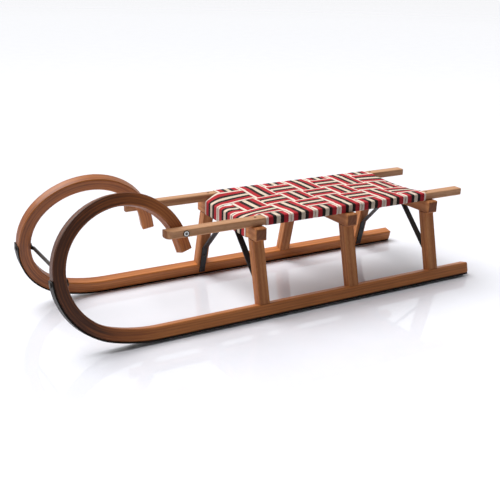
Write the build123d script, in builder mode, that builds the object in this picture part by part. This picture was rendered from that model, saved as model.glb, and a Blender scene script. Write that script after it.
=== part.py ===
from build123d import *
from math import acos, asin, atan2, cos, degrees, hypot, radians, sin, sqrt
import os

# A horned wooden sled: two bentwood runners on steel shoes, three trestles of legs and a
# crossbeam, two seat rails and a seat of woven striped webbing. Millimetres, +Z up, +X ahead.
# The origin is on the ground, midway along and across the sled.

os.makedirs("parts", exist_ok=True)

# Stance
lean = 14.0
track_half = 165.6
trestle_pitch = 254.0
runner_tail = 119.0
horn_start = 262.0

# Runner stock, its eased ends and its steel shoe
runner_width = 26.0
runner_height = 28.0
runner_ease = 2.2
end_ease = 4.0
end_ease_angle = 35.0
shoe_thick = 3.0

# Bends of the horn: a slow rise, the front, the crown and the hook behind it
rise_radius = 370.0
rise_turn = 16.4
front_radius = 138.0
brow_turn = 43.2
crown_radius = 160.0
crown_turn = 44.0
hook_radius = 139.0
tip_turn = 10.0
tip_run = 27.0
tip_seat = 1.5

# Legs and their tenons
leg_width = 25.0
leg_depth = 29.0
leg_round = 3.5
tenon_width = 12.0
tenon_depth = 19.0
foot_tenon = 16.0
head_tenon = 17.0
mortise_slack = 1.0

# Crossbeams
beam_height = 32.0
beam_depth = 29.0
beam_over = 16.5
beam_corner = 7.0
beam_round = 3.5
beam_top = 211.6

# Seat rails
rail_width = 28.0
rail_height = 18.0
rail_round = 3.5
rail_front = 224.0
rail_rear = 107.0
rail_nose = 16.0

# Webbing
web_width = 64.0
web_gap = 4.0
web_thick = 1.6
web_clear = 0.25
web_side = 2.25
web_tuck = 14.0
beam_tuck = 5.0
cross_count = 7
long_count = 3
seat_back_shift = 4.0

# Flat steel braces on the front and rear trestles
brace_width = 15.0
brace_thick = 3.0
brace_foot = 9.0
brace_knee = 82.0
brace_top_y = 32.0
brace_flange = 20.0
brace_bend = 9.0

# Draw rod between the horns and the bolts that hold it
rod_diameter = 8.0
lug_width = 16.0
lug_thick = 3.5
horn_bolt_drop = 8.5
bolt_diameter = 6.0
bolt_slack = 0.4
bolt_head = 11.0
bolt_head_high = 2.0

# Sleeve bolts through the rails and the horn tips
sleeve_diameter = 8.0
flange_diameter = 14.5
flange_high = 1.5
socket_corners = 7.0
socket_deep = 9.0
nut_corners = 14.0
nut_high = 4.0
spot_slack = 1.0
sleeve_back = 7.0

# Sunk heads of the screws that hold the rails on the outer crossbeams
screw_head = 7.0
screw_head_high = 2.4
screw_sink = 1.2

# Places that follow from the sizes above
half_width = runner_width / 2
rail_inner = (long_count * web_width + (long_count - 1) * web_gap) / 2 + web_side
rail_middle = rail_inner + rail_width / 2
rail_outer = rail_inner + rail_width
rail_top = beam_top + rail_height
beam_bottom = beam_top - beam_height
beam_half = rail_outer + beam_over
axis_w = shoe_thick + runner_height / 2
runner_top_w = shoe_thick + runner_height
ground_lift = half_width * sin(radians(lean))
front_centre_x = horn_start + (rise_radius - front_radius) * sin(radians(rise_turn))
front_centre_w = axis_w + rise_radius - (rise_radius - front_radius) * cos(radians(rise_turn))
shoe_outer_radius = front_radius + runner_height / 2 + shoe_thick
bolt_seat = sqrt(shoe_outer_radius**2 - (horn_bolt_drop - bolt_head / 2)**2)
front_reach = front_centre_x + bolt_seat + bolt_head_high
rear_reach = 2 * trestle_pitch + runner_tail
front_x = (rear_reach - front_reach) / 2
trestles = [("front", front_x), ("middle", front_x - trestle_pitch), ("rear", front_x - 2 * trestle_pitch)]
sides = [("left", 1), ("right", -1)]
web_pitch = web_width + web_gap
cheek_y = rail_inner - runner_width


def direction(sign, x_part, out_part, up_part):
    """A vector in the frame of one leaning side: ahead, outward and up the frame."""
    tilt = radians(lean)
    return Vector(
        x_part,
        sign * (out_part * cos(tilt) - up_part * sin(tilt)),
        out_part * sin(tilt) + up_part * cos(tilt),
    )


def side_point(sign, x, out, up):
    """A point of one side frame: x from the middle, out across the runner, up from the shoe."""
    return Vector(0, sign * track_half, ground_lift) + direction(sign, x, out, up)


def side_plane(sign):
    """The middle plane of one side frame, X along the sled and Y up the frame."""
    return Plane(side_point(sign, 0, 0, 0), x_dir=(1, 0, 0), z_dir=direction(sign, 0, -sign, 0))


def across(plane_point, sign):
    """The plane square to the side frame's upward direction at a point of it."""
    return Plane(plane_point, x_dir=(1, 0, 0), z_dir=direction(sign, 0, 0, 1))


def bend(start, heading, radius, turn):
    """Middle and end point of an arc that turns left, and the heading after it."""
    centre_x = start[0] - radius * sin(radians(heading))
    centre_y = start[1] + radius * cos(radians(heading))
    places = []
    for part in (turn / 2, turn):
        angle = radians(heading + part)
        places.append((centre_x + radius * sin(angle), centre_y - radius * cos(angle)))
    return places[0], places[1], heading + turn


def lower_path(sign, offset):
    """Runner path from the tail to the front of the horn, outside the axis by the offset."""
    start = (front_x - rear_reach + end_ease, axis_w - offset)
    rise = (front_x + horn_start, axis_w - offset)
    rise_mid, rise_end, heading = bend(rise, 0, rise_radius + offset, rise_turn)
    front_mid, front_end, heading = bend(rise_end, heading, front_radius + offset, 90 - rise_turn)
    with BuildLine(side_plane(sign)) as path:
        Line(start, rise)
        ThreePointArc(rise, rise_mid, rise_end)
        ThreePointArc(rise_end, front_mid, front_end)
    return path.line


# The horn's upper part leans in a little more, about the line up its front, so that its tip
# lands on the inner face of the seat rail. Shift and height solve two equations at the bolt.
joint_x = front_x + front_centre_x + front_radius
joint_up = front_centre_w
joint_y = track_half - joint_up * sin(radians(lean))
joint_z = ground_lift + joint_up * cos(radians(lean))
bolt_z = beam_top + rail_height / 2
inward = joint_y + half_width * cos(radians(lean)) - rail_inner - tip_seat
upward = bolt_z - joint_z
bolt_up = inward * sin(radians(lean)) + upward * cos(radians(lean))
bolt_in = inward * cos(radians(lean)) - upward * sin(radians(lean))
brow_mid, brow_end, brow_heading = bend((0, 0), 90, front_radius, brow_turn)
crown_mid, crown_end, crown_heading = bend(brow_end, brow_heading, crown_radius, crown_turn)
hook_centre = crown_end[1] + hook_radius * cos(radians(crown_heading))
hook_turn = 360 - degrees(acos((hook_centre - bolt_up) / hook_radius)) - crown_heading
hook_mid, hook_end, hook_heading = bend(crown_end, crown_heading, hook_radius, hook_turn)
tip_mid, tip_end, tip_heading = bend(hook_end, hook_heading, hook_radius, tip_turn)
toe_in = degrees(asin(bolt_in / -hook_end[0]))
bolt_x = joint_x + hook_end[0] * cos(radians(toe_in)) - sleeve_back


def loop_plane(sign):
    """The plane of the horn's upper part, X ahead and Y up its front."""
    ahead = direction(sign, cos(radians(toe_in)), sin(radians(toe_in)), 0)
    origin = side_point(sign, joint_x, 0, joint_up)
    return Plane(origin, x_dir=ahead, z_dir=ahead.cross(direction(sign, 0, 0, 1)))


def upper_path(sign):
    """Runner path over the crown and down the hook to the end of its last bend."""
    tip_x = tip_end[0] + tip_run * cos(radians(tip_heading))
    tip_y = tip_end[1] + tip_run * sin(radians(tip_heading))
    with BuildLine(loop_plane(sign)) as path:
        ThreePointArc((0, 0), brow_mid, brow_end)
        ThreePointArc(brow_end, crown_mid, crown_end)
        ThreePointArc(crown_end, hook_mid, hook_end)
        ThreePointArc(hook_end, tip_mid, tip_end)
        Line(tip_end, (tip_x, tip_y))
    return path.line


def tenon(sign, x, low, high, mode):
    """Adds a leg's tenon, or cuts its mortise, between two heights up the frame."""
    with BuildSketch(across(side_point(sign, x, 0, low), sign)) as outline:
        Rectangle(tenon_depth, tenon_width)
    extrude(outline.sketch, amount=high - low, mode=mode)


def up_at(z, out):
    """Distance up the side frame at which a line, out from its middle, reaches a height."""
    return (z - ground_lift - out * sin(radians(lean))) / cos(radians(lean))


leg_head_w = up_at(beam_bottom, 0) + head_tenon


def runner_section(sign):
    """The runner's cross section with eased corners, at the front of the horn."""
    with BuildSketch(Plane(side_point(sign, joint_x, 0, joint_up),
                           x_dir=direction(sign, 0, 1, 0), z_dir=direction(sign, 0, 0, 1))) as section:
        Rectangle(runner_width, runner_height)
        chamfer(section.vertices(), runner_ease)
    return section.sketch


# Runners: the lower bends lie in the side frame's plane, the upper ones in the loop's plane
for name, sign in sides:
    with BuildPart() as runner:
        sweep(runner_section(sign), path=upper_path(sign))
        tip_face = runner.faces().sort_by(Axis.Z)[0]
        sweep(runner_section(sign), path=lower_path(sign, 0))
        tail_face = runner.faces().sort_by(Axis.X)[0]
        extrude(tip_face, amount=end_ease, taper=end_ease_angle)
        extrude(tail_face, amount=end_ease, taper=end_ease_angle)
        for trestle, x in trestles:
            tenon(sign, x, runner_top_w - foot_tenon - mortise_slack, runner_top_w, Mode.SUBTRACT)
        with Locations((bolt_x, sign * rail_middle, bolt_z)):
            Box(rail_width + hook_radius, rail_width, rail_height, mode=Mode.SUBTRACT)
        with Locations(Location((bolt_x, sign * rail_inner, bolt_z), (90, 0, 0))):
            Cylinder((sleeve_diameter + bolt_slack) / 2, 4 * runner_width, mode=Mode.SUBTRACT)
        with Locations(Location((bolt_x, sign * (cheek_y - runner_width / 2), bolt_z), (90, 0, 0))):
            Cylinder(nut_corners / 2 + spot_slack, runner_width, mode=Mode.SUBTRACT)
        bolt_place = side_point(sign, joint_x, 0, joint_up - horn_bolt_drop)
        with Locations(Location(bolt_place, (0, 90, 0))):
            Cylinder((bolt_diameter + bolt_slack) / 2, 2 * runner_height, mode=Mode.SUBTRACT)
    runner.part.label = "runner_" + name
    export_step(runner.part, "parts/runner_" + name + ".step")

# Shoes: flat steel under each runner and up the front of its horn
for name, sign in sides:
    shoe_offset = (runner_height + shoe_thick) / 2
    shoe_end = side_point(sign, joint_x + shoe_offset, 0, joint_up)
    with BuildPart() as shoe:
        with BuildSketch(Plane(shoe_end, x_dir=direction(sign, 0, 1, 0), z_dir=direction(sign, 0, 0, 1))):
            Rectangle(runner_width, shoe_thick)
        sweep(path=lower_path(sign, shoe_offset))
        bolt_place = side_point(sign, joint_x, 0, joint_up - horn_bolt_drop)
        with Locations(Location(bolt_place, (0, 90, 0))):
            Cylinder((bolt_diameter + bolt_slack) / 2, 2 * runner_height, mode=Mode.SUBTRACT)
    shoe.part.label = "shoe_" + name
    export_step(shoe.part, "parts/shoe_" + name + ".step")

# Crossbeams with mortises for the leaning leg heads
beam_middle = (beam_top + beam_bottom) / 2
for trestle, x in trestles:
    with BuildPart() as beam:
        with BuildSketch(Plane.YZ.offset(x - beam_depth / 2)):
            with Locations((0, beam_middle)):
                RectangleRounded(2 * beam_half, beam_height, beam_corner)
        extrude(amount=beam_depth)
        with BuildSketch(Plane.XZ.offset(-beam_half)):
            with Locations((x, beam_middle)):
                RectangleRounded(beam_depth, beam_height, beam_round)
        extrude(amount=2 * beam_half, mode=Mode.INTERSECT)
        with BuildSketch(Plane.XY.offset(beam_bottom)):
            with Locations((x, 0)):
                RectangleRounded(beam_depth, 2 * beam_half, beam_round)
        extrude(amount=beam_height, mode=Mode.INTERSECT)
        for sign in (1, -1):
            tenon(sign, x, leg_head_w - 2 * head_tenon, leg_head_w + mortise_slack, Mode.SUBTRACT)
    beam.part.label = "crossbeam_" + trestle
    export_step(beam.part, "parts/crossbeam_" + trestle + ".step")

# Legs: tenoned into the runner below and the crossbeam above, with a level shoulder there
for trestle, x in trestles:
    for name, sign in sides:
        with BuildPart() as leg:
            with BuildSketch(across(side_point(sign, x, 0, runner_top_w), sign)):
                RectangleRounded(leg_depth, leg_width, leg_round)
            extrude(amount=leg_head_w - runner_top_w)
            split(bisect_by=Plane.XY.offset(beam_bottom), keep=Keep.BOTTOM)
            tenon(sign, x, runner_top_w - foot_tenon, leg_head_w, Mode.ADD)
        label = "leg_" + trestle + "_" + name
        leg.part.label = label
        export_step(leg.part, "parts/" + label + ".step")

# Seat rails: rounded nose at the outer front corner, sleeve bolt hole and sunk screw places
rail_start = trestles[2][1] - rail_rear
rail_length = rail_rear + 2 * trestle_pitch + rail_front
screw_places = (trestles[0][1], trestles[2][1])
for name, sign in sides:
    with BuildPart() as rail:
        with BuildSketch(Plane.YZ.offset(rail_start)):
            with Locations((sign * rail_middle, (beam_top + rail_top) / 2)):
                RectangleRounded(rail_width, rail_height, rail_round)
        extrude(amount=rail_length)
        with BuildSketch(Plane.XY.offset(beam_top)) as plan:
            with Locations((rail_start + rail_length / 2, sign * rail_middle)):
                Rectangle(rail_length, rail_width)
            outer_corners = plan.vertices().group_by(Axis.X)[-1].sort_by(Axis.Y)
            fillet(outer_corners[-1] if sign > 0 else outer_corners[0], rail_nose)
        extrude(amount=rail_height, mode=Mode.INTERSECT)
        with Locations(Location((bolt_x, sign * rail_middle, bolt_z), (90, 0, 0))):
            Cylinder((sleeve_diameter + bolt_slack) / 2, 2 * rail_width, mode=Mode.SUBTRACT)
        with BuildSketch(Plane.XY.offset(rail_top)):
            with Locations(*[(x, sign * rail_middle) for x in screw_places]):
                Circle(screw_head / 2)
        extrude(amount=-(screw_sink + screw_head_high), mode=Mode.SUBTRACT)
    rail.part.label = "seat_rail_" + name
    export_step(rail.part, "parts/seat_rail_" + name + ".step")

# Rail screws: the four heads that show, two over each outer crossbeam
with BuildPart() as screws:
    with BuildSketch(Plane.XY.offset(rail_top - screw_sink)):
        with Locations(*[(x, sign * rail_middle) for x in screw_places for sign in (1, -1)]):
            Circle(screw_head / 2)
    extrude(amount=-screw_head_high)
screws.part.label = "rail_screws"
export_step(screws.part, "parts/rail_screws.step")

# Flat steel braces: up the inner face of runner and leg, across to the crossbeam's underside
for trestle, x in (trestles[0], trestles[2]):
    for name, sign in sides:
        out = -(runner_width + brace_thick) / 2
        foot = side_point(sign, 0, out, brace_foot)
        knee = side_point(sign, 0, out, brace_knee)
        head_z = beam_bottom - brace_thick / 2
        with BuildPart() as brace:
            with BuildLine(Plane.YZ.offset(x)) as path:
                FilletPolyline(
                    (foot.Y, foot.Z),
                    (knee.Y, knee.Z),
                    (sign * brace_top_y, head_z),
                    (sign * (brace_top_y - brace_flange), head_z),
                    radius=brace_bend,
                )
            with BuildSketch(Plane((x, foot.Y, foot.Z), x_dir=(1, 0, 0), z_dir=direction(sign, 0, 0, 1))):
                Rectangle(brace_width, brace_thick)
            sweep(path=path.line)
        label = "brace_" + trestle + "_" + name
        brace.part.label = label
        export_step(brace.part, "parts/" + label + ".step")

# Draw rod between the horns, its ends flattened into lugs on the rear faces of the horns
bolt_height = side_point(1, joint_x, 0, joint_up - horn_bolt_drop)
rear_face = sqrt((front_radius - runner_height / 2)**2 - (horn_bolt_drop + lug_width / 2)**2)
lug_face_x = front_x + front_centre_x + rear_face
with BuildPart() as rod:
    with BuildSketch(Plane.YZ.offset(lug_face_x - lug_thick)) as lugs:
        for sign in (1, -1):
            with Locations((sign * bolt_height.Y, bolt_height.Z)):
                Circle(lug_width / 2)
            with Locations((sign * (bolt_height.Y - lug_width / 2), bolt_height.Z)):
                Rectangle(lug_width, rod_diameter)
    extrude(amount=lug_thick)
    with Locations(Location((lug_face_x - rod_diameter / 2, 0, bolt_height.Z), (90, 0, 0))):
        Cylinder(rod_diameter / 2, 2 * (bolt_height.Y - lug_width))
    for sign in (1, -1):
        with Locations(Location((bolt_height.X, sign * bolt_height.Y, bolt_height.Z), (0, 90, 0))):
            Cylinder((bolt_diameter + bolt_slack) / 2, 4 * runner_height, mode=Mode.SUBTRACT)
rod.part.label = "draw_rod"
export_step(rod.part, "parts/draw_rod.step")

# Horn bolts: a low round head on the shoe, the shank threaded into the rod's lug
for name, sign in sides:
    seat_x = front_x + front_centre_x + bolt_seat
    with BuildPart() as bolt:
        with BuildSketch(Plane.YZ.offset(seat_x)):
            with Locations((sign * bolt_height.Y, bolt_height.Z)):
                Circle(bolt_head / 2)
        extrude(amount=bolt_head_high)
        with BuildSketch(Plane.YZ.offset(lug_face_x - lug_thick)):
            with Locations((sign * bolt_height.Y, bolt_height.Z)):
                Circle(bolt_diameter / 2)
        extrude(amount=seat_x - lug_face_x + lug_thick)
    bolt.part.label = "horn_bolt_" + name
    export_step(bolt.part, "parts/horn_bolt_" + name + ".step")

# Rail bolts: a flanged sleeve with a hexagon socket, and a nut on the horn's inner cheek
for name, sign in sides:
    outside = Plane((bolt_x, sign * rail_outer, bolt_z), x_dir=(1, 0, 0), z_dir=(0, sign, 0))
    inside = Plane((bolt_x, sign * cheek_y, bolt_z), x_dir=(1, 0, 0), z_dir=(0, -sign, 0))
    with BuildPart() as sleeve:
        with BuildSketch(outside):
            Circle(flange_diameter / 2)
        extrude(amount=flange_high)
        with BuildSketch(outside):
            Circle(sleeve_diameter / 2)
        extrude(amount=-(rail_outer - cheek_y))
        with BuildSketch(inside):
            RegularPolygon(nut_corners / 2, 6)
        extrude(amount=nut_high)
        with BuildSketch(outside.offset(flange_high)):
            RegularPolygon(socket_corners / 2, 6)
        extrude(amount=-socket_deep, mode=Mode.SUBTRACT)
    sleeve.part.label = "rail_bolt_" + name
    export_step(sleeve.part, "parts/rail_bolt_" + name + ".step")

# Webbing: straps of plain weave, each half a strap's rise above or below the weave's middle
weave_z = rail_top + web_thick / 2
weave_rise = (web_thick + web_clear) / 2
middle_x = trestles[1][1] - seat_back_shift
cross_places = [middle_x + (cross_count - 1 - 2 * index) * web_pitch / 2 for index in range(cross_count)]
long_places = [(2 * index - long_count + 1) * web_pitch / 2 for index in range(long_count)]


def cross_is_over(cross_index, long_index):
    """Whether a cross strap passes over a long strap; neighbours alternate."""
    return (cross_index + long_index) % 2 == 1


def waves(centres, levels):
    """Points of a strap that runs level across each crossing strap and steps between them."""
    points = []
    for centre, level in zip(centres, levels):
        points.append((centre - web_width / 2, level))
        points.append((centre + web_width / 2, level))
    return points


for index, x in enumerate(cross_places):
    levels = []
    for long_index in range(long_count):
        over = cross_is_over(index, long_index)
        levels.append(weave_z + (weave_rise if over else -weave_rise))
    over_beam = abs(x - trestles[1][1]) < (web_width + beam_depth) / 2
    side_y = rail_outer + web_thick / 2
    low_z = beam_top - web_thick / 2
    if over_beam:
        tail = [(side_y, beam_top)]
    else:
        tail = [(rail_outer - web_tuck, low_z), (side_y, low_z)]
    left = tail + [(side_y, weave_z), (rail_inner, weave_z)]
    right = [(-y, z) for y, z in left]
    with BuildPart() as strap:
        with BuildLine(Plane.YZ.offset(x)) as path:
            if not over_beam:
                Line(*right[:2])
            FilletPolyline(*right[-3:], radius=rail_round + web_thick / 2)
            Polyline(right[-1], *waves(long_places, levels), left[-1])
            FilletPolyline(*reversed(left[-3:]), radius=rail_round + web_thick / 2)
            if not over_beam:
                Line(*reversed(left[:2]))
        start_plane = Plane((x, right[0][0], right[0][1]), x_dir=(1, 0, 0), z_dir=path.line % 0)
        with BuildSketch(start_plane):
            Rectangle(web_width, web_thick)
        sweep(path=path.line, transition=Transition.RIGHT)
    label = "cross_strap_" + str(index + 1)
    strap.part.label = label
    export_step(strap.part, "parts/" + label + ".step")


def slope_corner(beam_x, ahead, last):
    """Where a strap that slopes off the weave meets the line down the crossbeam's outer face."""
    radius = beam_round + web_thick / 2
    centre_x = beam_x + ahead * (beam_depth / 2 - beam_round)
    centre_z = beam_top - beam_round
    run = ahead * (centre_x - last[0])
    drop = centre_z - last[1]
    slope = atan2(drop, run) + asin(radius / hypot(run, drop))
    face_x = centre_x + ahead * radius
    return (face_x, last[1] + ahead * (face_x - last[0]) * sin(slope) / cos(slope))


for long_index, y in enumerate(long_places):
    levels = []
    for index in range(cross_count):
        over = cross_is_over(index, long_index)
        levels.append(weave_z - (weave_rise if over else -weave_rise))
    middle = waves(list(reversed(cross_places)), list(reversed(levels)))
    low_z = beam_bottom - web_thick / 2
    rear_corner = slope_corner(trestles[2][1], -1, middle[0])
    front_corner = slope_corner(trestles[0][1], 1, middle[-1])
    tuck = beam_tuck + web_thick / 2
    rear = [(rear_corner[0] + tuck, low_z), (rear_corner[0], low_z), rear_corner, middle[0]]
    front = [middle[-1], front_corner, (front_corner[0], low_z), (front_corner[0] - tuck, low_z)]
    with BuildPart() as strap:
        with BuildLine(Plane.XZ.offset(-y)) as path:
            Line(*rear[:2])
            FilletPolyline(*rear[1:], radius=beam_round + web_thick / 2)
            Polyline(*middle)
            FilletPolyline(*front[:3], radius=beam_round + web_thick / 2)
            Line(*front[2:])
        start_plane = Plane((rear[0][0], y, rear[0][1]), x_dir=(0, 1, 0), z_dir=path.line % 0)
        with BuildSketch(start_plane):
            Rectangle(web_width, web_thick)
        sweep(path=path.line, transition=Transition.RIGHT)
    label = "long_strap_" + str(long_index + 1)
    strap.part.label = label
    export_step(strap.part, "parts/" + label + ".step")
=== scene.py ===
import logging
import math
from collections.abc import Callable
from dataclasses import dataclass, replace
from enum import Enum

import bmesh
import bpy
from mathutils import Matrix, Vector
from mathutils.geometry import interpolate_bezier


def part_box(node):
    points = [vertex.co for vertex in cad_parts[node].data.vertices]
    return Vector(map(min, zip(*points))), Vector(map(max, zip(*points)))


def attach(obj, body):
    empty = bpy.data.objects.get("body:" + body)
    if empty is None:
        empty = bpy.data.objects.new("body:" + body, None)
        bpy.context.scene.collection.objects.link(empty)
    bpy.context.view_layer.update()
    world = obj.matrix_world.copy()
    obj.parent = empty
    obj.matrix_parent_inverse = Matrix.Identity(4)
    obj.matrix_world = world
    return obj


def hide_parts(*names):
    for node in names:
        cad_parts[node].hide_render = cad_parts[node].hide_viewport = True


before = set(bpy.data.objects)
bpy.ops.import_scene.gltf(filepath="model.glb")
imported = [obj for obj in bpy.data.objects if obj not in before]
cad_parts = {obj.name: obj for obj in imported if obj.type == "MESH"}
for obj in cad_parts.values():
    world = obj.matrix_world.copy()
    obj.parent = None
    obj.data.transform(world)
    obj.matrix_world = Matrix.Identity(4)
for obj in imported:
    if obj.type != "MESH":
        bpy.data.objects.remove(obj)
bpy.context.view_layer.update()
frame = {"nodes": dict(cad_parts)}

# Dresses a horned wooden sled: its woven webbing seat, the finishes of its wood and steel, its
# small fixings, a plain floor, soft studio light and a camera. Sizes are in metres, or in
# millimetres where a name ends in mm.

LOG = logging.getLogger("sled")
SIDES = (1, -1)
MM = 0.001
Socket = bpy.types.NodeSocket
Material = bpy.types.Material
Mesh = bmesh.types.BMesh
Pair = tuple[float, float]
Triple = tuple[float, float, float]


class GrainRun(Enum):
    """The direction that a sawn piece's grain runs in, and how such nodes' names start."""

    ALONG_SLED = "seat_rail"
    ACROSS_SLED = "crossbeam"
    UP_LEG = "leg"


def linear(colour: str) -> tuple[float, float, float, float]:
    """Turns an sRGB hex colour into linear light.

    Args:
        colour: The colour as "#rrggbb".

    Returns:
        Red, green, blue and an alpha of one.
    """
    parts = [int(colour[place:place + 2], 16) / 255 for place in (1, 3, 5)]
    light = [part / 12.92 if part <= 0.04045 else ((part + 0.055) / 1.055) ** 2.4 for part in parts]
    return light[0], light[1], light[2], 1.0


def smooth(share: float) -> float:
    """Eases a share, held between 0 and 1, in and out."""
    part = min(1.0, max(0.0, share))
    return part * part * (3 - 2 * part)


def span(name: str, axis: int) -> Pair:
    """Reads how far a CAD node reaches along an axis, to a thousandth of a millimetre."""
    low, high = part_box(name)
    return round(low[axis], 6), round(high[axis], 6)


@dataclass
class Recipe:
    """A material's or a world's node tree while its nodes are added."""

    owner: bpy.types.ID

    @classmethod
    def start(cls, name: str) -> "Recipe":
        """Makes an empty node material.

        Args:
            name: The material's name.

        Returns:
            The recipe that fills it.
        """
        material = bpy.data.materials.new(name)
        material.use_nodes = True
        material.node_tree.nodes.clear()
        return cls(material)

    def add(self, kind: str, inputs: dict, stops: tuple = (), **settings: object) -> bpy.types.Node:
        """Adds a node with its settings and links.

        Args:
            kind: The node's type name.
            inputs: For each input's name or number, a constant or the output to link.
            stops: Places and colours of a colour ramp.
            settings: The node's own settings.

        Returns:
            The new node.
        """
        node = self.owner.node_tree.nodes.new(kind)
        for key, value in settings.items():
            setattr(node, key, value)
        if stops:
            ramp = node.color_ramp.elements
            while len(ramp) > 1:
                ramp.remove(ramp[-1])
            for index, (place, colour) in enumerate(stops):
                stop = ramp.new(place) if index else ramp[0]
                stop.position, stop.color = place, colour
        for key, value in inputs.items():
            if isinstance(value, Socket):
                self.owner.node_tree.links.new(value, node.inputs[key])
            else:
                node.inputs[key].default_value = value
        return node

    def sum(self, terms: list[tuple[Socket, float]], rest: float) -> Socket:
        """Adds up outputs, each times a factor.

        Args:
            terms: The outputs and their factors.
            rest: A constant that is added.

        Returns:
            The sum's output.
        """
        total = rest
        for value, factor in terms:
            total = self.add("ShaderNodeMath", {0: value, 1: factor, 2: total},
                             operation="MULTIPLY_ADD").outputs[0]
        return total

    def spread(self, axes: list[tuple[Socket, float, float]]) -> Socket:
        """Lays a pattern out by its real sizes.

        Args:
            axes: For each axis an output in metres, the pattern's size in millimetres and a shift.

        Returns:
            The vector's output.
        """
        return self.add("ShaderNodeCombineXYZ", {
            place: self.sum([(value, 1 / (size * MM))], shift)
            for place, (value, size, shift) in enumerate(axes)}).outputs[0]

    def wear_and_highlight_edges(self, reach: float) -> Socket:
        """Finds the edges, which are made lighter: partly rub wear and partly a painted highlight.

        Args:
            reach: How far from an edge the lighter band shows, in millimetres.

        Returns:
            The output that is 1 on an edge and 0 elsewhere.
        """
        flat, edge = 0.98, 0.86
        plain = self.add("ShaderNodeNewGeometry", {}).outputs["Normal"]
        eased = self.add("ShaderNodeBevel", {"Radius": reach * MM}, samples=4).outputs[0]
        alike = self.add("ShaderNodeVectorMath", {0: plain, 1: eased},
                         operation="DOT_PRODUCT").outputs["Value"]
        return self.add("ShaderNodeMapRange", {0: alike, 1: flat, 2: edge}).outputs[0]

    def finish(self, shader: dict, colour: Socket, roughness: Socket, height: Socket,
               depth: float, eased: float = 0.0) -> Material:
        """Closes the tree with a surface shader and a bump.

        Args:
            shader: The shader's constant inputs.
            colour: The base colour's output.
            roughness: The roughness output.
            height: The relief's output, from 0 to 1.
            depth: The relief's depth in millimetres.
            eased: How far sanding has rounded the edges, in millimetres.

        Returns:
            The finished material.
        """
        bump = self.add("ShaderNodeBump",
                        {"Height": height, "Distance": depth * MM, "Strength": 1.0})
        if eased:
            edges = self.add("ShaderNodeBevel", {"Radius": eased * MM}, samples=4).outputs[0]
            self.owner.node_tree.links.new(edges, bump.inputs["Normal"])
        inputs = dict(shader)
        inputs.update({"Base Color": colour, "Roughness": roughness, "Normal": bump.outputs[0]})
        surface = self.add("ShaderNodeBsdfPrincipled", inputs)
        self.add("ShaderNodeOutputMaterial", {0: surface.outputs[0]})
        return self.owner


@dataclass(frozen=True)
class SideFrame:
    """The leaning side of the sled, with runner, shoe and legs, as the CAD has it."""

    lean: float = math.radians(14.0)
    track_half: float = 165.6 * MM
    half_runner: float = 13.0 * MM
    axis_up: float = 17.0 * MM
    toe_in: float = math.radians(4.04)

    @property
    def lift(self) -> float:
        """How high over the ground the lean brings the middle of the shoe."""
        return self.half_runner * math.sin(self.lean)

    def point(self, sign: int, x: float, out: float, up: float) -> Vector:
        """A place on one side.

        Args:
            sign: 1 for the left side and -1 for the right.
            x: Distance ahead of the sled's middle.
            out: Distance outward from the runner's middle plane.
            up: Distance up the leaning side from the shoe's underside.

        Returns:
            The place in the sled's frame.
        """
        sine, cosine = math.sin(self.lean), math.cos(self.lean)
        across = self.track_half + out * cosine - up * sine
        return Vector((x, sign * across, self.lift + out * sine + up * cosine))

    def inward(self, sign: int) -> Vector:
        """The direction that the inner face of a side looks in."""
        return Vector((0, -sign * math.cos(self.lean), -math.sin(self.lean)))


@dataclass(frozen=True)
class Bend:
    """One arc of the runner, in the side's plane: its centre and how the wood enters it."""

    x: float
    up: float
    radius: float
    heading: float
    reached: float

    @property
    def begins(self) -> float:
        """How far ahead the wood enters the arc."""
        return self.x + self.radius * math.sin(self.heading)


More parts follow.
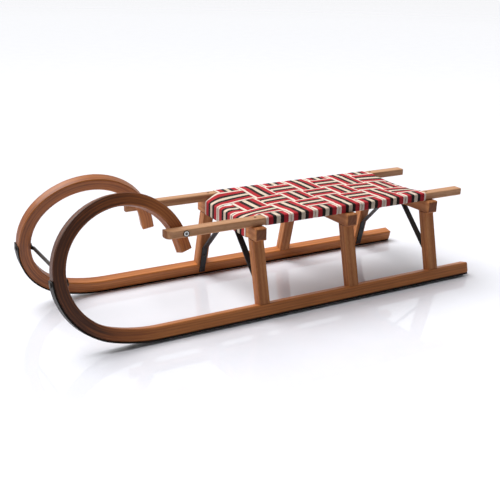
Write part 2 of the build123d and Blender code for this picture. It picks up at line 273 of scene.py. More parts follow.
@dataclass(frozen=True)
class SteamBentAsh:
    """Ash bent in steam, sanded and oiled warm brown.

    Oil darkens the wood, which is darker still from the rise to the front bend, by a set amount
    for each runner, and less dark again past the crown. Its open pores lie in long streaks that
    follow every bend. The growth bands and pores are drawn about twice as wide as real ones, to
    show at all.
    """

    bends: tuple[Bend, ...]
    seed: float
    bend_darkening: float
    light: str = "#d08140"
    dark: str = "#9e5824"
    pore: str = "#4b240b"
    band_mm: float = 3.2
    cloud_mm: float = 12.8
    streak_mm: float = 312.5
    pore_mm: float = 1.5
    pore_long_mm: float = 45.4545
    relief_mm: float = 0.25
    edge_wear_highlight_mm: float = 2.0
    sanded_mm: float = 1.2
    side: SideFrame = SideFrame()

    def unbend(self, recipe: Recipe) -> tuple[Socket, Socket, Socket]:
        """Works out where a point lies on the runner as if it were straight.

        Args:
            recipe: The recipe that gets the nodes.

        Returns:
            The outputs for the distance along, below the middle line and outward, in metres.
        """
        add, side = recipe.add, self.side
        place = add("ShaderNodeNewGeometry", {}).outputs["Position"]
        parts = add("ShaderNodeSeparateXYZ", {0: place}).outputs
        half = add("ShaderNodeMath", {0: parts[1]}, operation="ABSOLUTE").outputs[0]
        sine, cosine = math.sin(side.lean), math.cos(side.lean)
        up = recipe.sum([(half, -sine), (parts[2], cosine)],
                        side.track_half * sine - side.lift * cosine)
        out = recipe.sum([(half, cosine), (parts[2], sine)],
                         -side.track_half * cosine - side.lift * sine)
        flat = add("ShaderNodeCombineXYZ", {0: parts[0], 1: up}).outputs[0]
        along, below = parts[0], recipe.sum([(up, -1.0)], side.axis_up)
        front, crown, hook = self.bends[1:]
        upper = add("ShaderNodeMath", {0: up, 1: front.up}, operation="GREATER_THAN").outputs[0]
        for bend in self.bends:
            away = add("ShaderNodeVectorMath", {0: flat, 1: (bend.x, bend.up, 0.0)},
                       operation="SUBTRACT").outputs[0]
            reach = add("ShaderNodeVectorMath", {0: away}, operation="LENGTH").outputs["Value"]
            legs = add("ShaderNodeSeparateXYZ", {0: away}).outputs
            back = add("ShaderNodeMath", {0: legs[0], 1: -1.0}, operation="MULTIPLY").outputs[0]
            angle = add("ShaderNodeMath", {0: back, 1: legs[1]}, operation="ARCTAN2").outputs[0]
            length = recipe.sum([(angle, bend.radius)],
                                bend.reached + bend.radius * (math.pi - bend.heading))
            offset = recipe.sum([(reach, 1.0)], -bend.radius)
            # The horn turns back at the crown, so there the angle tells where the arc begins.
            value, edge = (
                (angle, bend.heading - math.pi) if bend is crown else (parts[0], bend.begins))
            inside = add("ShaderNodeMath", {0: value, 1: edge},
                         operation="LESS_THAN" if bend is hook else "GREATER_THAN").outputs[0]
            if bend in (crown, hook):
                inside = add("ShaderNodeMath", {0: inside, 1: upper},
                             operation="MULTIPLY").outputs[0]
            along = add("ShaderNodeMix", {0: inside, 2: along, 3: length}).outputs[0]
            below = add("ShaderNodeMix", {0: inside, 2: below, 3: offset}).outputs[0]
        slope = math.tan(side.toe_in)
        inward = recipe.sum([(parts[0], -slope)], (front.x + front.radius) * slope)
        out = add("ShaderNodeMath", {0: inward, 1: upper, 2: out},
                  operation="MULTIPLY_ADD").outputs[0]
        return along, below, out

    def make(self, name: str) -> Material:
        """Makes the bent ash.

        Args:
            name: The material's name.

        Returns:
            The material.
        """
        recipe = Recipe.start(name)
        add, total = recipe.add, recipe.sum
        along, below, out = self.unbend(recipe)
        slow = recipe.spread([(along, self.streak_mm, self.seed), (below, self.cloud_mm, self.seed),
                              (out, self.cloud_mm, 0.0)])
        clouds = add("ShaderNodeTexNoise", {"Vector": slow, "Scale": 1.0, "Detail": 3.0}).outputs[0]
        banded = total([(below, 1 / (self.band_mm * MM)), (out, 0.45 / (self.band_mm * MM)),
                        (clouds, 3.0)], self.seed)
        bands = add("ShaderNodeMath", {0: banded, 1: 1.0}, operation="PINGPONG").outputs[0]
        fine = recipe.spread([(along, self.pore_long_mm, self.seed), (below, self.pore_mm, 0.0),
                              (out, self.pore_mm, 0.0)])
        pores = add("ShaderNodeTexNoise",
                    {"Vector": fine, "Scale": 1.0, "Detail": 4.0, "Roughness": 0.6}).outputs[0]
        rise, front, crown, hook = self.bends
        # Darker from the rise through the front bend, by a set amount for each runner, and less
        # dark again from the crown to past the hook.
        darker_bends = add("ShaderNodeMapRange", {
            0: along, 1: rise.reached, 2: front.reached + 0.5 * front.radius,
            4: self.bend_darkening}).outputs[0]
        fading_bends = add("ShaderNodeMapRange", {
            0: along, 1: crown.reached, 2: hook.reached + 1.4 * hook.radius,
            4: -0.8 * self.bend_darkening}).outputs[0]
        edge_wear_and_highlight = recipe.wear_and_highlight_edges(self.edge_wear_highlight_mm)
        # The edges are made lighter: partly rub wear and partly a painted highlight.
        tone = total([(bands, 0.2), (clouds, 0.6), (pores, 0.55), (darker_bends, 1.0), (fading_bends, 1.0),
                      (edge_wear_and_highlight, -0.3)], -0.32)
        base = add("ShaderNodeValToRGB", {0: tone}, stops=(
            (0.15, linear(self.light)), (0.62, linear(self.dark)),
            (0.98, linear(self.pore)))).outputs[0]
        gloss = total([(pores, 0.25)], 0.34)
        return recipe.finish({"IOR": 1.5}, base, gloss, pores, self.relief_mm, eased=self.sanded_mm)


@dataclass(frozen=True)
class PlanedBeech:
    """Steamed beech, planed, sanded and clear lacquered.

    Planing leaves an even pale face with fine lines and short dark flecks, and end grain drinks
    the lacquer and looks darker. Flecks are drawn a little wider than real ones, to show at all.
    """

    run: GrainRun
    seed: float
    light: str = "#cf9c72"
    mid: str = "#b27f56"
    dark: str = "#8d5931"
    end: str = "#7f4b28"
    ring_mm: float = 4.0
    cloud_mm: float = 20.0
    streak_mm: float = 416.667
    streak_shift: float = 3.7
    fleck_mm: float = 1.6
    fleck_long_mm: float = 8.33333
    relief_mm: float = 0.15
    edge_wear_highlight_mm: float = 2.0
    sanded_mm: float = 1.2
    side: SideFrame = SideFrame()

    def axes(self, recipe: Recipe) -> tuple[Socket, Socket, Socket, Socket]:
        """Splits a place into the grain's own directions.

        Args:
            recipe: The recipe that gets the nodes.

        Returns:
            The outputs for along, across and through the grain, and how far a face is end grain.
        """
        add = recipe.add
        geometry = add("ShaderNodeNewGeometry", {}).outputs
        parts = add("ShaderNodeSeparateXYZ", {0: geometry["Position"]}).outputs
        normal = add("ShaderNodeSeparateXYZ", {0: geometry["True Normal"]}).outputs
        if self.run is GrainRun.ALONG_SLED:
            along, across, through, ends = parts[0], parts[1], parts[2], normal[0]
        elif self.run is GrainRun.ACROSS_SLED:
            along, across, through, ends = parts[1], parts[0], parts[2], normal[1]
        else:
            sine, cosine = math.sin(self.side.lean), math.cos(self.side.lean)
            half = add("ShaderNodeMath", {0: parts[1]}, operation="ABSOLUTE").outputs[0]
            along = recipe.sum([(half, -sine), (parts[2], cosine)], 0.0)
            across = recipe.sum([(half, cosine), (parts[2], sine)], 0.0)
            through, ends = parts[0], normal[2]
        facing = add("ShaderNodeMath", {0: ends}, operation="ABSOLUTE").outputs[0]
        ended = add("ShaderNodeMapRange", {0: facing, 1: 0.75, 2: 0.95}).outputs[0]
        return along, across, through, ended

    def make(self, name: str) -> Material:
        """Makes the beech.

        Args:
            name: The material's name.

        Returns:
            The material.
        """
        recipe = Recipe.start(name)
        add, total = recipe.add, recipe.sum
        along, across, through, ended = self.axes(recipe)
        slow = recipe.spread([(along, self.streak_mm, self.seed * self.streak_shift),
                              (across, self.cloud_mm, self.seed), (through, self.cloud_mm, 0.0)])
        clouds = add("ShaderNodeTexNoise", {"Vector": slow, "Scale": 1.0, "Detail": 3.0}).outputs[0]
        ringed = total([(across, 0.8 / (self.ring_mm * MM)), (through, 0.5 / (self.ring_mm * MM)),
                        (clouds, 4.0)], self.seed)
        rings = add("ShaderNodeMath", {0: ringed, 1: 1.0}, operation="PINGPONG").outputs[0]
        fine = recipe.spread([(along, self.fleck_long_mm, self.seed), (across, self.fleck_mm, 0.0),
                              (through, self.fleck_mm, 0.0)])
        flecks = add("ShaderNodeTexNoise", {"Vector": fine, "Scale": 1.0, "Detail": 2.0}).outputs[0]
        edge_wear_and_highlight = recipe.wear_and_highlight_edges(self.edge_wear_highlight_mm)
        # The edges are made lighter: partly rub wear and partly a painted highlight.
        tone = total([(rings, 0.28), (clouds, 0.7), (flecks, 0.35), (edge_wear_and_highlight, -0.3)], -0.28)
        face = add("ShaderNodeValToRGB", {0: tone}, stops=(
            (0.12, linear(self.light)), (0.5, linear(self.mid)),
            (0.95, linear(self.dark)))).outputs[0]
        sawn = add("ShaderNodeValToRGB", {0: rings}, stops=(
            (0.0, linear(self.end)), (1.0, linear(self.dark)))).outputs[0]
        base = add("ShaderNodeMix", {0: ended, 6: face, 7: sawn}, data_type="RGBA").outputs[2]
        gloss = total([(flecks, 0.2), (ended, 0.1)], 0.5)
        return recipe.finish({"IOR": 1.5}, base, gloss, flecks, self.relief_mm,
                             eased=self.sanded_mm)


@dataclass(frozen=True)
class StripSteel:
    """Mild steel strip or rod, rolled, bent and rubbed by use.

    Rolling leaves long fine scratches, handling leaves darker and brighter clouds, and the snow
    polishes a face that looks down. Enamel over the steel isn't metallic and stays dark. The
    scratches are drawn wider than real ones, to show at all.
    """

    light: str
    dark: str
    roughness: float
    bare: str = "#b9b5ae"
    metallic: float = 1.0
    polish: float = 0.0
    scratch_mm: float = 1.2
    scratch_long_mm: float = 83.3333
    scratch_high_mm: float = 4.0
    cloud_mm: float = 18.0
    relief_mm: float = 0.05

    def make(self, name: str) -> Material:
        """Makes the steel.

        Args:
            name: The material's name.

        Returns:
            The material.
        """
        recipe = Recipe.start(name)
        add, total = recipe.add, recipe.sum
        surface = add("ShaderNodeNewGeometry", {}).outputs
        parts = add("ShaderNodeSeparateXYZ", {0: surface["Position"]}).outputs
        clouds = add("ShaderNodeTexNoise", {"Vector": surface["Position"], "Detail": 4.0,
                                            "Scale": 1 / (self.cloud_mm * MM)}).outputs[0]
        sizes = (self.scratch_long_mm, self.scratch_mm, self.scratch_high_mm)
        drawn = recipe.spread([(part, size, 0.0) for part, size in zip(parts, sizes)])
        scratches = add("ShaderNodeTexNoise",
                        {"Vector": drawn, "Scale": 1.0, "Detail": 3.0}).outputs[0]
        level = add("ShaderNodeSeparateXYZ", {0: surface["Normal"]}).outputs[2]
        sole = add("ShaderNodeMapRange", {0: level, 1: -0.7, 2: -0.92, 4: self.polish}).outputs[0]
        tone = total([(clouds, 0.8), (scratches, 0.25), (sole, 1.0)], -0.02)
        base = add("ShaderNodeValToRGB", {0: tone}, stops=(
            (0.25, linear(self.dark)), (0.8, linear(self.light)),
            (1.0, linear(self.bare)))).outputs[0]
        gloss = total([(clouds, 0.2), (scratches, 0.12), (sole, -0.25)], self.roughness - 0.16)
        return recipe.finish({"Metallic": self.metallic}, base, gloss, scratches, self.relief_mm)


@dataclass(frozen=True)
class PlatedSleeve:
    """Zinc-plated sleeve bolt with a turned rim.

    The face is bright inside a ring round the socket and dark on the rim outside it.
    The turning marks are drawn coarser than real ones, to show at all.
    """

    axis: Pair
    bright: str = "#c9c8c4"
    dark: str = "#2a2826"
    ring_mm: float = 5.4
    fade_mm: float = 0.5
    turn_mm: float = 0.8
    relief_mm: float = 0.03

    def make(self, name: str) -> Material:
        """Makes the plated sleeve.

        Args:
            name: The material's name.

        Returns:
            The material.
        """
        recipe = Recipe.start(name)
        add, total = recipe.add, recipe.sum
        place = add("ShaderNodeNewGeometry", {}).outputs["Position"]
        flat = add("ShaderNodeVectorMath", {
            0: place, 1: (1.0, 0.0, 1.0), 2: (-self.axis[0], 0.0, -self.axis[1])},
            operation="MULTIPLY_ADD").outputs[0]
        away = add("ShaderNodeVectorMath", {0: flat}, operation="LENGTH").outputs["Value"]
        ring = add("ShaderNodeMapRange", {
            0: away, 1: self.ring_mm * MM, 2: (self.ring_mm + self.fade_mm) * MM}).outputs[0]
        turned = add("ShaderNodeTexNoise", {
            "Vector": place, "Scale": 1 / (self.turn_mm * MM), "Detail": 2.0}).outputs[0]
        tone = total([(ring, 0.9), (turned, 0.2)], -0.1)
        base = add("ShaderNodeValToRGB", {0: tone}, stops=(
            (0.1, linear(self.bright)), (0.8, linear(self.dark)))).outputs[0]
        gloss = total([(turned, 0.1), (ring, 0.2)], 0.25)
        return recipe.finish({"Metallic": 1.0}, base, gloss, turned, self.relief_mm)


@dataclass(frozen=True)
class StripedWebbing:
    """Striped webbing woven from dyed spun yarn.

    The warp yarns carry the stripes, so each stripe's edge steps from yarn to yarn, and the weft
    makes fine ribs across. Real yarns and ribs are about 1 mm apart and too fine for the picture,
    so they are drawn wider.
    """

    width: float
    edge: str = "#f4e1d2"
    cream: str = "#e2cfb9"
    red: str = "#b8222d"
    black: str = "#1f0c08"
    starts: tuple[float, ...] = (0.0, 0.095, 0.28, 0.42, 0.58, 0.72, 0.905)
    stray: float = 0.016
    rib_mm: float = 3.0
    yarn_mm: float = 1.6
    worn_yarns: float = 20.0
    relief_mm: float = 0.35
    # How much darker the painted shade makes faces that don't look up.
    side_shade: float = 0.2

    def make(self, name: str) -> Material:
        """Makes the webbing.

        Args:
            name: The material's name.

        Returns:
            The material.
        """
        recipe = Recipe.start(name)
        add, total = recipe.add, recipe.sum
        across = add("ShaderNodeAttribute", {}, attribute_name="across").outputs["Fac"]
        along = add("ShaderNodeAttribute", {}, attribute_name="along").outputs["Fac"]
        woven = recipe.spread([(across, self.yarn_mm, 0.0), (along, 2 * self.rib_mm, 0.0)])
        fibres = add("ShaderNodeTexNoise",
                     {"Vector": woven, "Scale": 1.0, "Detail": 3.0, "Roughness": 0.6}).outputs[0]
        shifted = total([(across, 1 / self.width), (fibres, self.stray)], 0.5 - self.stray / 2)
        dyes = (self.edge, self.red, self.black, self.cream, self.black, self.red, self.edge)
        stripes = add("ShaderNodeValToRGB", {0: shifted}, stops=tuple(
            (start, linear(dye)) for start, dye in zip(self.starts, dyes)))
        stripes.color_ramp.interpolation = "CONSTANT"
        ribs, yarns = (
            add("ShaderNodeMath", {0: total([(value, math.tau / (size * MM))], 0.0)},
                operation="SINE").outputs[0]
            for value, size in ((along, self.rib_mm), (across, self.yarn_mm)))
        crossed = add("ShaderNodeMath", {0: ribs, 1: yarns}, operation="MULTIPLY").outputs[0]
        relief = total([(ribs, 0.2), (crossed, 0.12), (fibres, 0.4)], 0.3)
        worn = add("ShaderNodeTexNoise",
                   {"Vector": woven, "Scale": 1 / self.worn_yarns, "Detail": 2.0}).outputs[0]
        # Painted shade: faces that look less and less upward, such as the straps' sides over the
        # rails, are made darker.
        normal = add("ShaderNodeNewGeometry", {}).outputs["Normal"]
        level = add("ShaderNodeSeparateXYZ", {0: normal}).outputs[2]
        painted_side_shade = add("ShaderNodeMapRange", {0: level, 1: 0.7, 2: 0.1, 4: self.side_shade}).outputs[0]
        shade = total([(relief, 0.3), (worn, 0.3), (painted_side_shade, -1.0)], 0.62)
        cloth = add("ShaderNodeVectorMath", {0: stripes.outputs[0], 3: shade},
                    operation="SCALE").outputs[0]
        gloss = total([(fibres, 0.2)], 0.78)
        return recipe.finish({"IOR": 1.4}, cloth, gloss, relief, self.relief_mm)


@dataclass(frozen=True)
class FloorPaint:
    """Pale painted studio floor, rolled smooth, with soft broad reflections."""

    light: str = "#eff0f7"
    dark: str = "#ecedf4"
    roll_mm: float = 111.111
    relief_mm: float = 0.02

    def make(self, name: str) -> Material:
        """Makes the floor paint.

        Args:
            name: The material's name.

        Returns:
            The material.
        """
        recipe = Recipe.start(name)
        place = recipe.add("ShaderNodeNewGeometry", {}).outputs["Position"]
        rolled = recipe.add("ShaderNodeTexNoise", {
            "Vector": place, "Scale": 1 / (self.roll_mm * MM), "Detail": 3.0}).outputs[0]
        base = recipe.add("ShaderNodeValToRGB", {0: rolled}, stops=(
            (0.3, linear(self.light)), (0.7, linear(self.dark)))).outputs[0]
        gloss = recipe.sum([(rolled, 0.03)], 0.01)
        return recipe.finish({"IOR": 1.45}, base, gloss, rolled, self.relief_mm)


def dress(obj: bpy.types.Object, material: Material) -> None:
    """Gives an object one material in all its slots.

    Args:
        obj: The object.
        material: Its material.
    """
    for slot in obj.material_slots:
        slot.material = material
    if not obj.material_slots:
        obj.data.materials.append(material)
    LOG.info("%s dressed in %s", obj.name, material.name)


def add_piece(name: str, mesh: Mesh, material: Material) -> bpy.types.Object:
    """Makes a smooth piece that rides on the sled.

    Args:
        name: The piece's name.
        mesh: Its mesh, which is freed.
        material: Its material.

    Returns:
        The new object.
    """
    data = bpy.data.meshes.new(name)
    bmesh.ops.recalc_face_normals(mesh, faces=mesh.faces)
    mesh.to_mesh(data)
    mesh.free()
    data.shade_smooth()
    piece = bpy.data.objects.new(name, data)
    bpy.context.scene.collection.objects.link(piece)
    dress(piece, material)
    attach(piece, "root")
    LOG.info("%s: %d faces", name, len(data.polygons))
    return piece


def close_rings(mesh: Mesh, rings: list[list[bmesh.types.BMVert]]) -> None:
    """Joins rings of points into a closed skin with flat ends.

    Args:
        mesh: The mesh that holds the points.
        rings: The rings in order, with as many points each.
    """
    count = len(rings[0])
    for one, two in zip(rings, rings[1:]):
        for index in range(count):
            after = (index + 1) % count
            mesh.faces.new((one[index], one[after], two[after], two[index]))
    mesh.faces.new(rings[0][::-1])
    mesh.faces.new(rings[-1])


def rounded(corners: list[Vector], radius: float, step: float) -> list[Vector]:
    """Rounds a line's corners and divides its runs.

    Args:
        corners: The line's corners in its plane.
        radius: The corners' radius.
        step: The largest distance between points.

    Returns:
        The points of the rounded line.
    """
    points, parts = [corners[0]], 8
    for index in range(1, len(corners) - 1):
        before, here, after = corners[index - 1:index + 2]
        one, two = (before - here).normalized(), (after - here).normalized()
        half = one.angle(two) / 2
        shorter = 0.49 * min((before - here).length, (after - here).length)
        reach = min(radius / math.tan(half), shorter)
        centre = here + (one + two).normalized() * reach / math.cos(half)
        start, end = here + one * reach - centre, here + two * reach - centre
        for part in range(parts + 1):
            turned = start.slerp(end, part / parts).normalized()
            points.append(centre + turned * start.length)
    points.append(corners[-1])
    fine = [points[0]]
    for point in points[1:]:
        pieces = max(1, math.ceil((point - fine[-1]).length / step))
        begin = fine[-1]
        fine += [begin.lerp(point, part / pieces) for part in range(1, pieces + 1)]
    return fine


@dataclass(frozen=True)
class Bearers:
    """The edges of rails and crossbeams that bear the straps."""

    rail_inner: float
    rail_outer: float
    rail_bottom: float
    rail_top: float
    beam_bottom: float
    beam_depth: float
    beams: Pair
    middle: float
    edge_round: float = 3.5 * MM

    @classmethod
    def measure(cls) -> "Bearers":
        """Reads the edges off the frame.

        Returns:
            The edges.
        """
        front, rear, strap = (
            span(name, 0) for name in ("crossbeam_front", "crossbeam_rear", "cross_strap_4"))
        return cls(*span("seat_rail_left", 1), *span("seat_rail_left", 2),
                   beam_bottom=span("crossbeam_front", 2)[0], beam_depth=front[1] - front[0],
                   beams=(sum(front) / 2, sum(rear) / 2), middle=sum(strap) / 2)


@dataclass
class WovenSeat:
    """The seat: seven cross straps and three long straps in plain weave."""

    wood: Bearers
    width: float = 66.8 * MM
    pitch: float = 68.0 * MM
    thick: float = 1.5 * MM
    rise: float = 1.15 * MM
    crown: float = 0.5 * MM
    crown_level: float = 0.7
    blend: float = 5.0 * MM
    step: float = 2.2 * MM
    weld: float = 0.001 * MM
    columns: int = 26
    bunch: float = 0.25
    cross_count: int = 7
    long_count: int = 3
    rail_tuck: float = 14.0 * MM
    short_gap: float = 0.2 * MM
    beam_tuck: float = 7.0 * MM
    hem_high: float = 1.0 * MM
    hem_lean: Pair = (4.0 * MM, 2.2 * MM)
    hem_fall: Pair = (12.0 * MM, 2.1 * MM)
    hem_points: int = 14
    sags: Pair = (12.0 * MM, 8.5 * MM)
    sag_reach: float = 84.0 * MM
    sag_margin: float = 1.5 * MM
    cross_yarn: float = 0.37
    long_yarn: Pair = (3.1, 0.9)

    def cross_places(self) -> list[float]:
        """Where the cross straps lie along the sled, from the front."""
        return [self.wood.middle - (index - (self.cross_count - 1) / 2) * self.pitch
                for index in range(self.cross_count)]

    def long_places(self) -> list[float]:
        """Where the long straps lie across the sled, from its right."""
        return [(index - (self.long_count - 1) / 2) * self.pitch
                for index in range(self.long_count)]

    def wave(self, run: float, centres: list[float], levels: list[int]) -> float:
        """How far over or under a strap is at a place.

        Args:
            run: The place along the strap.
            centres: The crossing straps' centres.
            levels: 1 where the strap is over and -1 where it is under.

        Returns:
            A value from -1, under, to 1, over.
        """
        total, reach = 0.0, self.pitch / 2
        for centre, level in zip(centres, levels):
            total += level * smooth((reach - abs(run - centre)) / self.blend + 0.5)
        return total

    def settle(self, spot: Vector) -> Vector:
        """Lowers a point of the weave, which the long straps pull down towards both crossbeams.

        Args:
            spot: A point of a strap lying level.

        Returns:
            The point where it ends up.
        """
        wood = self.wood
        if spot.z < wood.rail_bottom:
            return spot
        across = max(0.0, 1 - abs(spot.y / (wood.rail_inner + self.sag_margin)) ** 3)
        half, total = self.cross_count * self.pitch / 2, 0.0
        for beam, way, sag in zip(wood.beams, (1, -1), self.sags):
            end, face = wood.middle + way * half, beam + way * wood.beam_depth / 2
            inside = max(0.0, way * (end - spot.x))
            held = 1 - smooth((spot.x - end) / (face - end))
            total += sag * math.exp(-inside / self.sag_reach) * held
        return Vector((spot.x, spot.y, spot.z - across * total))

    def sweep(self, name: str, line: list[Vector],
              place: Callable[[float, float, float], Vector], lift: Callable[[float], float],
              start: float, cloth: Material) -> None:
        """Builds a strap along its line.

        Args:
            name: The strap's name and the name of the node it replaces.
            line: The middle line's points as run and height.
            place: Turns run, side and height into a point.
            lift: How far over or under the strap is at a run.
            start: A distance added along the yarn, so that no two straps look alike.
            cloth: Its material.
        """
        mesh = bmesh.new()
        across = mesh.verts.layers.float.new("across")
        along = mesh.verts.layers.float.new("along")
        half, last = self.width / 2, len(line) - 1
        shares = [2 * column / self.columns - 1 for column in range(self.columns + 1)]
        sides = [half * math.sin(math.pi / 2 * share) * self.bunch
                 + half * share * (1 - self.bunch) for share in shares]
        settled = [self.settle(place(point[0], 0.0, point[1])) for point in line]
        rings, travelled = [], 0.0
        for index, point in enumerate(line):
            ahead = (line[min(index + 1, last)] - line[max(index - 1, 0)]).normalized()
            normal = Vector((-ahead[1], ahead[0]))
            if index:
                travelled += (settled[index] - settled[index - 1]).length
            over = lift(point[0]) if abs(normal[1]) > self.crown_level else 0.0
            ring = []
            for face in (1, -1):
                for side in sides[::face]:
                    near = min(1.0, (half - abs(side)) / self.thick)
                    body = self.thick / 2 * math.sqrt(max(0.0, 1 - (1 - near) ** 2))
                    curl = -over * self.crown * abs(side / half) ** 3
                    spot = point + normal * (face * body + curl)
                    vert = mesh.verts.new(self.settle(place(spot[0], side, spot[1])))
                    vert[across], vert[along] = side, travelled + start
                    ring.append(vert)
            rings.append(ring)
        close_rings(mesh, rings)
        bmesh.ops.remove_doubles(mesh, verts=mesh.verts, dist=self.weld)
        strap = add_piece("woven_" + name, mesh, cloth)
        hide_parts(name)
        LOG.info("%s cut %.4f by %.4f m", strap.name, self.width, travelled)

    def cross_strap(self, index: int, cloth: Material) -> None:
        """Builds one strap from rail to rail.

        Args:
            index: The strap's number from the front, from 0.
            cloth: Its material.
        """
        wood, x, centres = self.wood, self.cross_places()[index], self.long_places()
        levels = [1 if (index + other) % 2 else -1 for other in range(self.long_count)]
        top, side = wood.rail_top + self.thick / 2, wood.rail_outer + self.thick / 2
        low = wood.rail_bottom - self.thick / 2
        half = [Vector((wood.rail_outer - self.rail_tuck, low)), Vector((side, low)),
                Vector((side, top))]
        if index == self.cross_count // 2:
            # The middle crossbeam is in the way of this strap's tucked ends.
            half = [Vector((side, wood.rail_bottom + self.short_gap)), Vector((side, top))]
        corners = [Vector((-point[0], point[1])) for point in half] + half[::-1]
        raised = []
        for point in rounded(corners, wood.edge_round + self.thick / 2, self.step):
            if point[1] > wood.rail_top and abs(point[0]) < wood.rail_inner + self.blend:
                point = point + Vector((0, self.rise * self.wave(point[0], centres, levels)))
            raised.append(point)
        self.sweep(f"cross_strap_{index + 1}", raised,
                   lambda run, out, high: Vector((x + out, run, high)),
                   lambda run: self.wave(run, centres, levels),
                   self.cross_yarn * index, cloth)

    def hem(self, beam: float, way: int, last: Vector) -> list[Vector]:
        """Runs a long strap from under an outer crossbeam, up its face and over to the weave.

        Args:
            beam: The crossbeam's middle along the sled.
            way: 1 at the front and -1 at the rear.
            last: The end of the woven part.

        Returns:
            The points from under the crossbeam to the weave.
        """
        wood = self.wood
        face = beam + way * (wood.beam_depth + self.thick) / 2
        low = wood.beam_bottom - self.thick / 2
        top = Vector((face, wood.rail_bottom + self.thick / 2 + self.hem_high))
        lean = Vector((-way * self.hem_lean[0], self.hem_lean[1]))
        wrap = rounded([Vector((face - way * self.beam_tuck, low)), Vector((face, low)), top,
                        top + lean], wood.edge_round + self.thick / 2, self.step)
        fall = Vector((way * self.hem_fall[0], -self.hem_fall[1]))
        over = interpolate_bezier(wrap[-1], wrap[-1] + lean * 2.0, last + fall, last,
                                  self.hem_points)
        return wrap + [Vector(point[:2]) for point in over[1:]]

    def long_strap(self, index: int, cloth: Material) -> None:
        """Builds one strap from crossbeam to crossbeam.

        Args:
            index: The strap's number from the sled's right, from 0.
            cloth: Its material.
        """
        wood, y, centres = self.wood, self.long_places()[index], self.cross_places()
        levels = [-1 if (other + index) % 2 else 1 for other in range(self.cross_count)]
        level = wood.rail_top + self.thick / 2
        low_run, high_run = centres[-1] - self.pitch / 2, centres[0] + self.pitch / 2
        rear = self.hem(wood.beams[1], -1, Vector((low_run, level + self.rise * levels[-1])))
        front = self.hem(wood.beams[0], 1, Vector((high_run, level + self.rise * levels[0])))
        woven = []
        for point in rounded([rear[-1], front[-1]], 0.0, self.step)[1:-1]:
            ends = max(0.0, 1 - min(point[0] - low_run, high_run - point[0]) / self.blend)
            near = levels[0] if point[0] > wood.middle else levels[-1]
            high = self.wave(point[0], centres, levels) * (1 - ends) + near * ends
            woven.append(Vector((point[0], level + self.rise * high)))
        self.sweep(f"long_strap_{index + 1}", rear + woven + front[::-1],
                   lambda run, out, high: Vector((run, y + out, high)),
                   lambda run: self.wave(run, centres, levels),
                   self.long_yarn[0] + self.long_yarn[1] * index, cloth)

    def build(self) -> None:
        """Builds every strap."""
        cloth = StripedWebbing(width=self.width).make("striped_webbing")
        for index in range(self.cross_count):
            self.cross_strap(index, cloth)
        for index in range(self.long_count):
            self.long_strap(index, cloth)


@dataclass
class Timber:
    """Runners, legs, crossbeams and seat rails, dressed in their own wood."""

    nodes: dict
    front_x: float
    horn_start: float = 262.0 * MM
    radii: tuple[float, ...] = (370.0 * MM, 138.0 * MM, 160.0 * MM, 139.0 * MM)
    headings: tuple[float, ...] = (0.0, 16.4, 133.2, 177.2)
    # For each runner its side, the seed of its grain and how much darker its bends are.
    ash: tuple[tuple[str, float, float], ...] = (("left", 3.7, 0.62), ("right", 0.3, 0.34))
    beech_seed: float = 1.3
    warm: tuple[str, str, str] = ("#c8864f", "#a86534", "#733d1b")

    def bends(self) -> tuple[Bend, ...]:
        """Centres of the runner's arcs, worked out one from the next.

        Returns:
            The rise, the front, the crown and the hook.
        """
        x = reached = self.front_x + self.horn_start
        up, arcs = SideFrame().axis_up, []
        turns = [math.radians(heading) for heading in self.headings]
        for index, radius in enumerate(self.radii):
            heading = turns[index]
            centre = (x - radius * math.sin(heading), up + radius * math.cos(heading))
            arcs.append(Bend(centre[0], centre[1], radius, heading, reached))
            after = turns[index + 1] if index + 1 < len(turns) else heading
            x, up = centre[0] + radius * math.sin(after), centre[1] - radius * math.cos(after)
            reached += radius * (after - heading)
        return tuple(arcs)

    def build(self) -> None:
        """Gives every wooden node its material, each with its own piece of tree."""
        for side, seed, bend_darkening in self.ash:
            ash = SteamBentAsh(self.bends(), seed=seed, bend_darkening=bend_darkening)
            dress(self.nodes["runner_" + side], ash.make("steam_bent_ash_" + side))
        starts = tuple(run.value for run in GrainRun)
        sawn = [name for name in sorted(self.nodes) if name.startswith(starts)]
        for index, name in enumerate(sawn):
            kind = next(run for run in GrainRun if name.startswith(run.value))
            beech = PlanedBeech(run=kind, seed=self.beech_seed * index)
            if kind is not GrainRun.ALONG_SLED:
                light, mid, dark = self.warm
                beech = replace(beech, light=light, mid=mid, dark=dark)
            dress(self.nodes[name], beech.make("planed_beech_" + name))


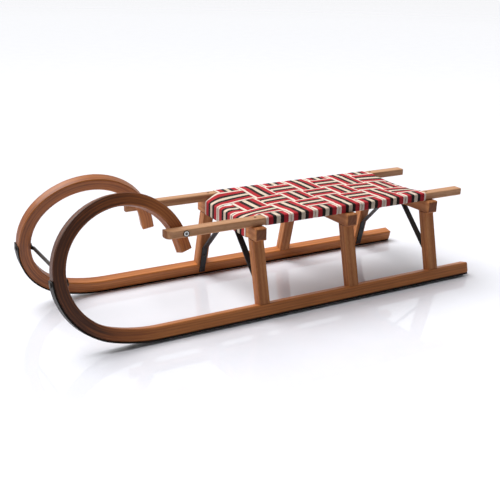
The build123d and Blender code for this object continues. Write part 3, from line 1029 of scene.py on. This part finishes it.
@dataclass
class Ironwork:
    """Shoes, draw rod, braces and bolts, and the small screws and tacks."""

    nodes: dict
    seat: WovenSeat
    side: SideFrame = SideFrame()
    brace_thick: float = 3.0 * MM
    screw_ups: Pair = (20.0 * MM, 60.0 * MM)
    screw_radius: float = 4.2 * MM
    screw_high: float = 2.0 * MM
    slot_half: float = 0.6 * MM
    slot_deep: float = 0.7 * MM
    flange_y: float = 20.0 * MM
    tack_size: float = 0.62
    tack_share: float = 0.28
    tack_inset: float = 3.4 * MM
    head_rings: int = 6
    head_steps: int = 20

    def dome(self, mesh: Mesh, seat: Vector, axis: Vector, size: float = 1.0,
             slot: bool = True) -> None:
        """Adds a round head, as a screw or a tack has.

        Args:
            mesh: The mesh that gets the head.
            seat: The middle of the head's seat.
            axis: The direction that the head stands out in.
            size: Its size against the braces' screws.
            slot: Whether a slot is pressed in it.
        """
        turn = axis.to_track_quat("Z", "Y").to_matrix()
        rings = []
        for part in range(self.head_rings):
            angle = math.pi / 2 * part / (self.head_rings - 1)
            # The last ring stops just short of the pole, so that it closes with a small flat.
            radius = size * self.screw_radius * math.cos(angle * 0.96)
            high, ring = size * self.screw_high * math.sin(angle), []
            for step in range(self.head_steps):
                round_by = math.tau * step / self.head_steps
                spot = Vector((radius * math.cos(round_by), radius * math.sin(round_by), high))
                if slot and abs(spot[0]) < self.slot_half and part >= self.head_rings // 2:
                    spot[2] -= self.slot_deep
                ring.append(mesh.verts.new(seat + turn @ spot))
            rings.append(ring)
        close_rings(mesh, rings)

    def screws(self, steel: Material) -> None:
        """Adds the round-head screws of the braces.

        Args:
            steel: Their material.
        """
        mesh, wood = bmesh.new(), self.seat.wood
        inner, under = self.side.half_runner + self.brace_thick, wood.beam_bottom - self.brace_thick
        for x in wood.beams:
            for sign in SIDES:
                for up in self.screw_ups:
                    self.dome(mesh, self.side.point(sign, x, -inner, up), self.side.inward(sign))
                self.dome(mesh, Vector((x, sign * self.flange_y, under)), Vector((0, 0, -1)))
        add_piece("brace_screws", mesh, steel)

    def tacks(self, steel: Material) -> None:
        """Adds the tacks that hold the straps' ends under the rails and crossbeams.

        Args:
            steel: Their material.
        """
        mesh, seat, wood = bmesh.new(), self.seat, self.seat.wood
        shifts = (-self.tack_share * seat.width, self.tack_share * seat.width)
        spots = []
        for index, x in enumerate(seat.cross_places()):
            if index != seat.cross_count // 2:
                spots += [(x + shift, side * (wood.rail_outer - seat.rail_tuck / 2),
                           wood.rail_bottom - seat.thick)
                          for side in SIDES for shift in shifts]
        for beam, way in zip(wood.beams, (1, -1)):
            spots += [(beam + way * (wood.beam_depth / 2 - self.tack_inset), y + shift,
                       wood.beam_bottom - seat.thick)
                      for y in seat.long_places() for shift in shifts]
        for spot in spots:
            self.dome(mesh, Vector(spot), Vector((0, 0, -1)), self.tack_size, slot=False)
        add_piece("webbing_tacks", mesh, steel)

    def build(self) -> None:
        """Dresses the steel and adds the screws and tacks."""
        shoe = StripSteel(light="#3a3633", dark="#24211f", roughness=0.5, polish=0.5)
        rod = StripSteel(light="#5d5854", dark="#2c2926", roughness=0.4).make("drawn_rod_steel")
        black = StripSteel(light="#1f1e20", dark="#0e0e10", roughness=0.42, metallic=0.0)
        x, z = (sum(span("rail_bolt_left", axis)) / 2 for axis in (0, 2))
        enamel = black.make("black_enamelled_steel")
        wanted = {
            "shoe_": shoe.make("rolled_shoe_steel"), "draw_rod": rod, "horn_bolt": rod,
            "brace_": enamel, "rail_screws": enamel,
            "rail_bolt": PlatedSleeve(axis=(x, z)).make("turned_zinc_plate")}
        for name, node in sorted(self.nodes.items()):
            for start, material in wanted.items():
                if name.startswith(start):
                    dress(node, material)
        self.screws(rod)
        self.tacks(rod)


@dataclass
class Studio:
    """The plain floor, soft light and camera."""

    eye: Triple = (1.00236, 1.67730, 0.78325)
    right: Triple = (-0.86512555, 0.50112503, 0.02077208)
    look: Triple = (-0.47927203, -0.81377252, -0.32874399)
    lens: float = 60.22
    sensor: float = 36.0
    floor_size: float = 40.0
    floor_drop: float = 0.2 * MM
    sun_from: Triple = (0.5, -0.42, 1.0)
    sun_strength: float = 3.85
    sun_angle: float = math.radians(50.0)
    glow: Pair = (0.03, 0.88)
    glow_turn: Pair = (-0.2, 0.9)
    horizon: float = 0.5
    horizon_high: Pair = (0.03, 0.24)

    def floor(self) -> None:
        """Lays the floor."""
        mesh = bmesh.new()
        bmesh.ops.create_grid(mesh, x_segments=2, y_segments=2, size=self.floor_size)
        data = bpy.data.meshes.new("floor")
        mesh.to_mesh(data)
        mesh.free()
        floor = bpy.data.objects.new("floor", data)
        floor.location = (0.0, 0.0, -self.floor_drop)
        bpy.context.scene.collection.objects.link(floor)
        dress(floor, FloorPaint().make("rolled_floor_paint"))

    def light(self) -> None:
        """Sets the soft key light and the surrounding light, brighter beyond the sled."""
        lamp = bpy.data.lights.new("soft_key", "SUN")
        lamp.energy, lamp.angle = self.sun_strength, self.sun_angle
        key = bpy.data.objects.new("soft_key", lamp)
        key.matrix_world = Vector(self.sun_from).to_track_quat("Z", "Y").to_matrix().to_4x4()
        bpy.context.scene.collection.objects.link(key)
        world = bpy.data.worlds.new("studio")
        world.use_nodes = True
        world.node_tree.nodes.clear()
        add = Recipe(world).add
        ray = add("ShaderNodeTexCoord", {}).outputs["Generated"]
        away = Vector((self.look[0], self.look[1], 0.0)).normalized()
        toward = add("ShaderNodeVectorMath", {0: ray, 1: tuple(away)},
                     operation="DOT_PRODUCT").outputs["Value"]
        beyond = add("ShaderNodeMapRange", {
            0: toward, 1: self.glow_turn[0], 2: self.glow_turn[1],
            3: self.glow[0], 4: self.glow[1]}).outputs[0]
        height = add("ShaderNodeSeparateXYZ", {0: ray}).outputs[2]
        ring = add("ShaderNodeMapRange", {
            0: height, 1: self.horizon_high[0], 2: self.horizon_high[1],
            3: self.horizon, 4: 0.0}).outputs[0]
        strength = add("ShaderNodeMath", {0: beyond, 1: ring}, operation="MAXIMUM").outputs[0]
        backdrop = add("ShaderNodeBackground", {0: linear("#ffffff"), 1: strength})
        add("ShaderNodeOutputWorld", {0: backdrop.outputs[0]})
        bpy.context.scene.world = world
        bpy.context.scene.view_settings.view_transform = "Standard"

    def camera(self) -> None:
        """Puts the camera where the photograph was taken from."""
        camera = bpy.data.cameras.new("camera")
        camera.lens, camera.sensor_width = self.lens, self.sensor
        holder = bpy.data.objects.new("camera", camera)
        right, look = Vector(self.right), Vector(self.look)
        axes = Matrix((right, right.cross(look), -look)).transposed()
        holder.matrix_world = Matrix.Translation(self.eye) @ axes.to_4x4()
        bpy.context.scene.collection.objects.link(holder)
        bpy.context.scene.camera = holder

    def build(self) -> None:
        """Makes the floor, the light and the camera."""
        self.floor()
        self.light()
        self.camera()
        LOG.info("studio ready")


def main() -> None:
    """Builds and dresses the sled and its studio."""
    logging.basicConfig(level=logging.INFO, format="%(name)s %(message)s")
    nodes = frame["nodes"]
    wood = Bearers.measure()
    Timber(nodes, wood.beams[0]).build()
    seat = WovenSeat(wood)
    seat.build()
    Ironwork(nodes, seat).build()
    Studio().build()


if __name__ == "__main__":
    main()
